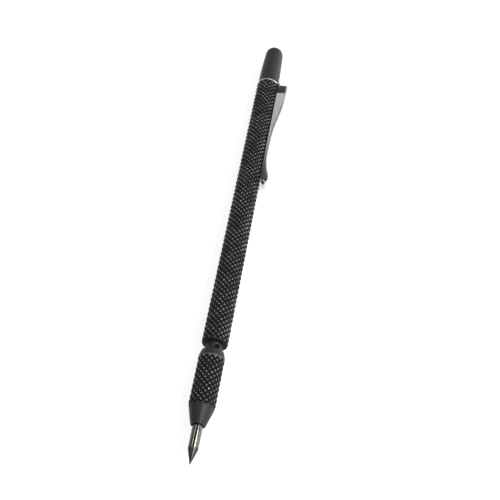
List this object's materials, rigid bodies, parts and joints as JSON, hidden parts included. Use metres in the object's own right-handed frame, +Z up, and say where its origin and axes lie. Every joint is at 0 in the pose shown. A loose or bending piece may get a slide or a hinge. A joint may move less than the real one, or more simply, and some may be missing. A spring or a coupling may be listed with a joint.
{
  "type": "pocket scriber",
  "caption": "Pocket scriber with a knurled round barrel, a collet chuck that grips a carbide-pointed tip, a domed screw cap and a sprung pocket clip.",
  "frame": {"origin": "on the tool's axis, midway along the knurled barrel", "axes": "+X along the axis towards the point; +Z up from the table that the tool lies on, with the clip's corner on the same table at the +Y side"},
  "size_m": [0.1493, 0.0108, 0.0072],
  "materials": {
    "black_knurl": "black anodised, knurled",
    "black_smooth": "black anodised, satin",
    "tool_steel": "ground",
    "carbide": "ground dark carbide",
    "clip_steel": "nickel plated spring steel"
  },
  "bodies": {
    "barrel": {"barrel": "black_knurl", "collet": "black_smooth"},
    "chuck_nut": {"chuck_nut": "black_knurl"},
    "tip": {"tip_shank": "tool_steel", "tip_point": "carbide"},
    "clip": {"clip_ring": "clip_steel"},
    "clip_arm": {"clip_arm": "clip_steel"},
    "cap": {"cap": "black_smooth"},
    "spare": {"spare_shank": "tool_steel", "spare_point": "carbide"}
  },
  "joints": [
    {"name": "nut_turn", "type": "hinge", "parent": "barrel", "child": "chuck_nut", "pos_m": [0.06, 0, 0], "axis": [1, 0, 0], "range_deg": [0, 720]},
    {"name": "tip_slide", "type": "slide", "parent": "barrel", "child": "tip", "axis": [1, 0, 0], "range_m": [0, 0.018]},
    {"name": "cap_pull", "type": "slide", "parent": "barrel", "child": "clip", "axis": [-1, 0, 0], "range_m": [0, 0.045]},
    {"name": "cap_turn", "type": "hinge", "parent": "clip", "child": "cap", "pos_m": [-0.05, 0, 0], "axis": [-1, 0, 0], "range_deg": [0, 2250]},
    {"name": "clip_flex", "type": "hinge", "parent": "clip", "child": "clip_arm", "pos_m": [-0.0479, 0.00593, -0.00182], "axis": [0, 0.2937, 0.9559], "range_deg": [0, 5], "stiffness_Nm_per_rad": 2},
    {"name": "spare_slide", "type": "slide", "parent": "barrel", "child": "spare", "axis": [-1, 0, 0], "range_m": [0, 0.03]}
  ],
  "couplings": [
    {"joint": "spare_slide", "follows": "cap_pull", "ratio": 0.62}
  ]
}
